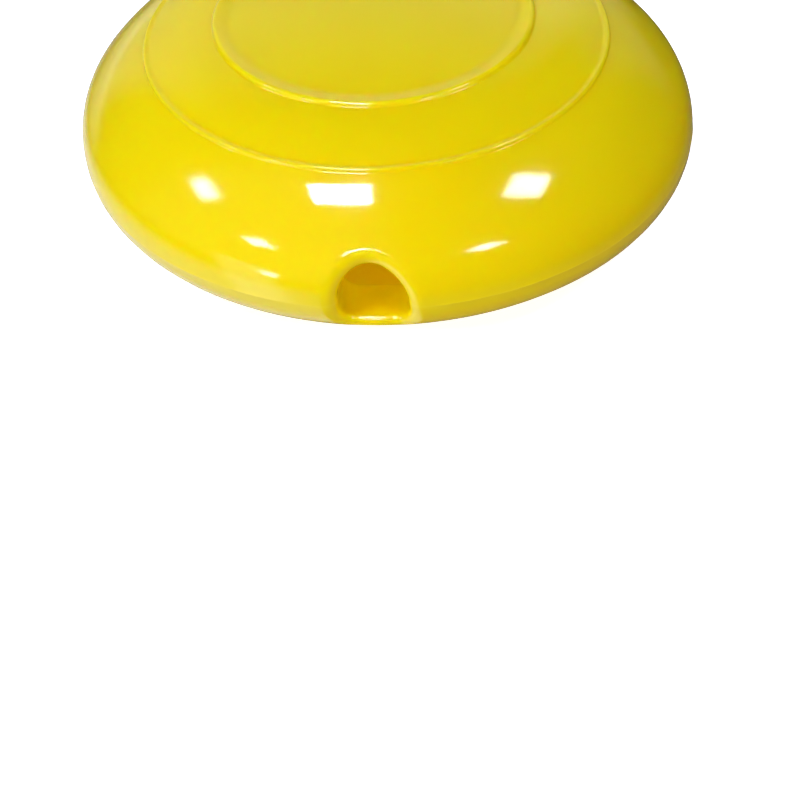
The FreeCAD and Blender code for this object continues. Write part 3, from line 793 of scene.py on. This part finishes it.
def vinyl():
    """Glossy soft vinyl, coloured through, with light passing into it."""
    shader = Shader("yellow_vinyl")
    cloud = shader.remap(shader.noise(scale=22.0, detail=3.0))
    body = shader.mix(cloud, VINYL_YELLOW, VINYL_DEEP)
    # Painted glow: convex edges such as the lip and the bead crests are mixed towards a paler yellow,
    # partly for rubbing and partly standing in for light shining through the thin vinyl
    edge_mask = shader.remap(shader.pointiness(), high=0.5, from_low=0.52, from_high=0.60)
    colour = shader.mix(edge_mask, body, VINYL_EDGE_WEAR_AND_GLOW)
    smears = shader.noise(scale=60.0, detail=4.0, roughness=0.6)
    gloss = shader.remap(smears, low=0.05, high=0.12)
    swell = shader.bump(shader.noise(scale=18.0, detail=1.0), distance=0.0006, strength=0.25)
    grain = shader.noise(scale=900.0, detail=2.0)
    skin = shader.bump(grain, distance=0.00002, strength=0.35, before=swell)
    height = shader.height_from(SEAM * MM)
    through = shader.remap(height, from_low=SEAM_DENSE[0], from_high=SEAM_DENSE[1])
    shader.feed(Base_Color=colour, Roughness=gloss, Normal=skin, Subsurface_Weight=through)
    shader.set(IOR=1.54, Subsurface_Scale=VINYL_DEPTH, Subsurface_Radius=VINYL_SHARES)
    return shader.material


# Moulded plastics: the colour, its clouding, the roughness and how much light runs in
PLASTICS = {
    "well_plastic": ((0.72, 0.70, 0.62), (0.66, 0.64, 0.56), 0.42, 0.2),
    "base_plastic": ((0.80, 0.79, 0.75), (0.74, 0.73, 0.69), 0.38, 0.0),
    "bellows_plastic": ((0.86, 0.86, 0.82), (0.80, 0.80, 0.76), 0.32, 0.4),
    "clamp_plastic": ((0.62, 0.62, 0.59), (0.56, 0.56, 0.54), 0.35, 0.0),
    "cap_plastic": ((0.78, 0.77, 0.72), (0.72, 0.71, 0.66), 0.40, 0.0),
    "housing_plastic": ((0.74, 0.74, 0.72), (0.68, 0.68, 0.66), 0.30, 0.0),
}
SATIN_SPREAD = 0.06
EDGE_PALENESS = 1.08


def moulded_plastic(name, colour, shade, roughness, translucency):
    """Plain moulded plastic with faint clouding, a fine satin grain and paler edges."""
    shader = Shader(name)
    cloud = shader.remap(shader.noise(scale=90.0, detail=3.0))
    body = shader.mix(cloud, colour, shade)
    pale = tuple(min(1.0, part * EDGE_PALENESS) for part in colour)
    edge_mask = shader.remap(shader.pointiness(), high=0.6, from_low=0.52, from_high=0.62)
    finish = shader.mix(edge_mask, body, pale)
    smooth, rough = roughness - SATIN_SPREAD, roughness + SATIN_SPREAD
    satin = shader.remap(shader.noise(scale=400.0, detail=3.0), low=smooth, high=rough)
    grain = shader.bump(shader.noise(scale=2500.0, detail=2.0), distance=0.00002, strength=0.4)
    shader.feed(Base_Color=finish, Roughness=satin, Normal=grain)
    shader.set(IOR=1.49, Subsurface_Weight=translucency, Subsurface_Scale=0.002)
    return shader.material


FILM_PALE = (0.75, 0.78, 0.80)
FILM_DEEP = (0.70, 0.74, 0.77)


def clear_film():
    """The reed's thin clear strip."""
    shader = Shader("reed_film")
    tint = shader.mix(shader.remap(shader.noise(scale=300.0)), FILM_PALE, FILM_DEEP)
    gloss = shader.remap(shader.noise(scale=800.0), low=0.08, high=0.18)
    ripple = shader.bump(shader.noise(scale=1500.0), distance=0.00001, strength=0.3)
    shader.feed(Base_Color=tint, Roughness=gloss, Normal=ripple)
    shader.set(IOR=1.57, Transmission_Weight=0.5)
    return shader.material


def coat(piece, material):
    """Give a piece or a frame node one material."""
    piece.data.materials.clear()
    piece.data.materials.append(material)


# The floor is white by a glow of its own. The disc doesn't mirror it, and it neither lights nor
# shades the disc. Its size is in metres.
FLOOR_SIZE = 8.0
FLOOR_SQUARES = 8
FLOOR_GLOW = 0.8
FLOOR_WHITE = (1.0, 1.0, 1.0)
FLOOR_PALE = (0.90, 0.90, 0.90)
FLOOR_CLOUD = (0.88, 0.88, 0.88)


def pale_floor():
    """The plain pale floor that the disc stands on."""
    bm = bmesh.new()
    bmesh.ops.create_grid(
        bm, x_segments=FLOOR_SQUARES, y_segments=FLOOR_SQUARES, size=FLOOR_SIZE / 2
    )
    mesh = bpy.data.meshes.new("floor")
    bm.to_mesh(mesh)
    bm.free()
    floor = bpy.data.objects.new("floor", mesh)
    bpy.context.scene.collection.objects.link(floor)
    shader = Shader("floor")
    paper = shader.mix(shader.remap(shader.noise(scale=3.0)), FLOOR_PALE, FLOOR_CLOUD)
    shader.feed(Base_Color=paper)
    shader.set(Roughness=0.6, Emission_Strength=FLOOR_GLOW, Emission_Color=(*FLOOR_WHITE, 1.0))
    coat(floor, shader.material)
    floor.visible_glossy = False
    floor.visible_diffuse = False
    floor.visible_shadow = False


# Soft panels in a ceiling, whose height is in metres. For each: its name, its middle's x and y, its
# width and depth, all as shares of the ceiling's height, its turn in degrees, the radiance that the
# gloss shows and the radiance that lights the colour.
CEILING = 1.5
PANELS = (
    ("near_middle", -0.188, -0.290, 0.285, 0.21, 0.0, 40.0, 19.4),
    ("near_right", 0.79, -0.160, 0.303, 0.222, 6.0, 22.0, 19.4),
    ("near_left", -1.175, -0.182, 0.285, 0.245, 0.0, 21.0, 30.0),
    ("front_left", -1.09, -1.01, 0.28, 0.25, 0.0, 19.0, 47.0),
    ("front_middle", -0.155, -1.25, 0.17, 0.28, 0.0, 22.0, 4.3),
    ("front_right", 0.955, -1.13, 0.31, 0.28, -20.0, 21.0, 28.0),
)
# Soft fills, out of the gloss. For each: its name, where it stands and how wide it is, in metres, and
# its radiance in red, green and blue.
FILLS = (
    ("low_front", (0.0, -1.6, 0.25), 1.2, (1.7, 1.7, 1.7)),
    ("low_front_left", (-1.2, -1.2, 0.2), 0.9, (1.2, 1.2, 1.2)),
    ("low_back", (0.0, 1.8, 0.8), 1.4, (1.6, 1.6, 1.6)),
    ("under_right", (1.0, -0.3, -0.6), 0.7, (2.0, 1.2, 1.0)),
)
# The light that the dome lets through into the chamber, as a lamp under the dome: its place and size
# in metres, its tilt out to the mouth in degrees, and its radiance
CHAMBER_LIGHT = ((0.0, -0.046, 0.034), (0.040, 0.016), -35.0, (2.0, 1.6, 0.1))


def area_lamp(name, width, depth, radiance):
    """A flat lamp that the camera doesn't see, with the power that its radiance and size call for."""
    light = bpy.data.lights.new(name, "AREA")
    light.shape = "RECTANGLE"
    light.size = width
    light.size_y = depth
    light.energy = radiance * math.pi * width * depth
    lamp = bpy.data.objects.new(name, light)
    lamp.visible_camera = False
    bpy.context.scene.collection.objects.link(lamp)
    return lamp


def ceiling_panel(name, x, y, width, depth, turn, gloss_radiance, radiance):
    """A panel as two lamps in one place: one for the reflections and one for the rest."""
    for part, strength, in_gloss in (("gloss", gloss_radiance, True), ("light", radiance, False)):
        lamp = area_lamp(f"{name}_{part}", width * CEILING, depth * CEILING, strength)
        lamp.location = (x * CEILING, y * CEILING, CEILING)
        lamp.rotation_euler = (0.0, 0.0, math.radians(turn))
        lamp.visible_glossy = in_gloss
        lamp.visible_diffuse = not in_gloss
        lamp.visible_transmission = not in_gloss


def matte_lamp(name, width, depth, radiance, place):
    """A tinted lamp that doesn't show in the gloss. Its radiance is given as red, green and blue."""
    lamp = area_lamp(name, width, depth, max(radiance))
    lamp.data.color = [part / max(radiance) for part in radiance]
    lamp.location = place
    lamp.visible_glossy = False
    return lamp


def soft_fill(name, place, width, radiance):
    """A wide lamp that faces the disc."""
    lamp = matte_lamp(name, width, width, radiance, place)
    lamp.rotation_euler = Vector(place).to_track_quat("Z", "Y").to_euler()


def chamber_light(place, size, tilt, radiance):
    """The light inside the chamber, facing down and out to the mouth."""
    lamp = matte_lamp("chamber", *size, radiance, place)
    lamp.rotation_euler = (math.radians(tilt), 0.0, 0.0)


# The studio round the disc, as the gloss shows it: a dim ground with soft stretches of brightness.
# For each stretch: its name, its direction on the compass, the cosines off it between which the ends
# fade in, the fade of its foot and the fade of its top, both over the upward part of the direction,
# and its radiance.
DIM_LIGHT = 0.015
ALL_ROUND = (-1.2, -1.1)
STRETCHES = (
    ("behind", (-0.24, 0.97), (0.78, 0.90), (-0.18, -0.05), (0.45, 0.80), 0.44),
    ("behind_low", (-0.42, 0.91), (0.82, 0.90), (-0.30, -0.18), (-0.06, 0.05), 0.36),
    ("behind_right", (0.34, 0.94), (0.90, 0.99), (-0.05, 0.10), (0.40, 0.60), 0.20),
    ("left_high", (-0.71, -0.71), (0.55, 0.80), (-0.20, 0.00), (0.90, 1.00), 0.11),
    ("ground", (0.0, -1.0), ALL_ROUND, ALL_ROUND, (-0.60, -0.30), 0.14),
    ("ground_left", (-1.0, 0.05), (0.20, 0.60), ALL_ROUND, (-0.50, -0.22), 0.75),
    ("left_low", (-0.73, -0.68), (0.97, 0.995), (-0.80, -0.60), (0.02, 0.10), 1.00),
    ("left_glint", (-0.616, -0.788), (0.9985, 0.9996), (-0.15, -0.11), (-0.03, 0.00), 14.0),
)


class StudioLight:
    """The world's node tree, built up by short calls."""

    def __init__(self):
        world = bpy.data.worlds.new("studio")
        bpy.context.scene.world = world
        world.use_nodes = True
        self.tree = world.node_tree
        self.direction = self.tree.nodes.new("ShaderNodeTexCoord").outputs["Generated"]
        level = self.vector("MULTIPLY", self.direction, (1.0, 1.0, 0.0))
        self.compass = self.vector("NORMALIZE", level)
        parts = self.tree.nodes.new("ShaderNodeSeparateXYZ")
        self.tree.links.new(self.direction, parts.inputs["Vector"])
        self.upward = parts.outputs["Z"]

    def feed(self, sockets, *values):
        """Link or set sockets in their order."""
        for socket, value in zip(sockets, values):
            if isinstance(value, bpy.types.NodeSocket):
                self.tree.links.new(value, socket)
            else:
                socket.default_value = value

    def vector(self, operation, first, second=(0.0, 0.0, 0.0), output="Vector"):
        node = self.tree.nodes.new("ShaderNodeVectorMath")
        node.operation = operation
        self.feed(node.inputs, first, second)
        return node.outputs[output]

    def math(self, operation, first, second):
        node = self.tree.nodes.new("ShaderNodeMath")
        node.operation = operation
        self.feed(node.inputs, first, second)
        return node.outputs["Value"]

    def fade(self, value, low, high, start, end):
        """A smooth change from start to end while the value goes from low to high."""
        node = self.tree.nodes.new("ShaderNodeMapRange")
        node.interpolation_type = "SMOOTHSTEP"
        self.feed(node.inputs, value, low, high, start, end)
        return node.outputs["Result"]

    def stretch(self, towards, ends, foot, top, radiance):
        """The brightness of one stretch."""
        facing = self.vector("DOT_PRODUCT", self.compass, (*towards, 0.0), "Value")
        across = self.fade(facing, *ends, 0.0, radiance)
        above_foot = self.fade(self.upward, *foot, 0.0, 1.0)
        below_top = self.fade(self.upward, *top, 1.0, 0.0)
        return self.math("MULTIPLY", self.math("MULTIPLY", across, above_foot), below_top)

    def light(self):
        """Add up the stretches as the world's strength."""
        total = DIM_LIGHT
        for name, *stretch in STRETCHES:
            total = self.math("ADD", total, self.stretch(*stretch))
            total.node.label = name
        background = self.tree.nodes["Background"]
        self.feed([background.inputs["Strength"]], total)
        background.inputs["Color"].default_value = (1.0, 1.0, 1.0, 1.0)


# The photograph's view: the camera looks at the middle of the disc's widest plane from this far
# away, and this middle lies well above the middle of the picture. Angles are in degrees, and the
# focal length is in pixels of the picture.
VIEW_DISTANCE = 600.0
VIEW_ELEVATION = 34.432
VIEW_AZIMUTH = 4.3
VIEW_ROLL = -2.812
PICTURE_SIZE = 800.0
FOCAL_PIXELS = 2254.807
DISC_MIDDLE_PIXEL = (387.564, 114.016)
SENSOR_WIDTH = 36.0
CLIP_START = 0.01
CLIP_END = 50.0


def photo_camera():
    """The camera, placed and turned to give the photograph's view."""
    elevation = math.radians(VIEW_ELEVATION)
    azimuth = math.radians(VIEW_AZIMUTH)
    back = Vector(
        (
            math.sin(azimuth) * math.cos(elevation),
            -math.cos(azimuth) * math.cos(elevation),
            math.sin(elevation),
        )
    )
    right = Vector((math.cos(azimuth), math.sin(azimuth), 0.0))
    up = back.cross(right)
    look = Matrix((right, up, back)).transposed()
    pixel_x = (DISC_MIDDLE_PIXEL[0] - PICTURE_SIZE / 2) / FOCAL_PIXELS
    pixel_y = (DISC_MIDDLE_PIXEL[1] - PICTURE_SIZE / 2) / FOCAL_PIXELS
    ahead = Vector((0.0, 0.0, -1.0))
    towards_disc = Vector((pixel_x, -pixel_y, -1.0)).normalized()
    aim = ahead.rotation_difference(towards_disc).to_matrix().transposed()
    roll = Matrix.Rotation(math.radians(VIEW_ROLL), 3, "Z")
    data = bpy.data.cameras.new("photo_camera")
    data.sensor_width = SENSOR_WIDTH
    data.lens = FOCAL_PIXELS * SENSOR_WIDTH / PICTURE_SIZE
    data.clip_start = CLIP_START
    data.clip_end = CLIP_END
    camera = bpy.data.objects.new("photo_camera", data)
    place = (Vector((0.0, 0.0, EQUATOR)) + back * VIEW_DISTANCE) * MM
    camera.matrix_world = Matrix.Translation(place) @ (look @ roll @ aim).to_4x4()
    bpy.context.scene.collection.objects.link(camera)
    bpy.context.scene.camera = camera


# The frame's own pieces that stay as they are, with their finish
KEPT_PIECES = {
    "squeaker_well": "well_plastic",
    "squeaker_base": "base_plastic",
    "bellows_clamp_ring": "clamp_plastic",
    "bellows_cap": "cap_plastic",
    "reed_housing_lower": "housing_plastic",
    "reed_housing_upper": "housing_plastic",
    "reed": "reed_film",
    "squeaker_grille": "base_plastic",
}


def dress_pieces():
    """Model the soft pieces, and finish every piece of the disc."""
    finishes = {"yellow_vinyl": vinyl(), "reed_film": clear_film()}
    for name, look in PLASTICS.items():
        finishes[name] = moulded_plastic(name, *look)
    upper = casing_half("upper_casing", True)
    lower = casing_half("lower_casing", False)
    bellows = bellows_piece()
    for piece, node, slot in (
        (upper, "upper_shell", "yellow_vinyl"),
        (lower, "lower_shell", "yellow_vinyl"),
        (bellows, "squeaker_bellows", "bellows_plastic"),
    ):
        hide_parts(node)
        coat(piece, finishes[slot])
    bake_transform(upper)
    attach(lower, "root")
    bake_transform(bellows)
    for node, finish in KEPT_PIECES.items():
        coat(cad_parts[node], finishes[finish])


# Light goes to and fro in the soft wall and the chamber many times before it is spent
LIGHT_BOUNCES = 16
MATTE_BOUNCES = 12

photo_camera()
StudioLight().light()
for panel in PANELS:
    ceiling_panel(*panel)
for fill in FILLS:
    soft_fill(*fill)
chamber_light(*CHAMBER_LIGHT)
pale_floor()
dress_pieces()

scene = bpy.context.scene
scene.cycles.max_bounces = LIGHT_BOUNCES
scene.cycles.diffuse_bounces = MATTE_BOUNCES
scene.view_settings.view_transform = "Standard"
scene.view_settings.look = "None"
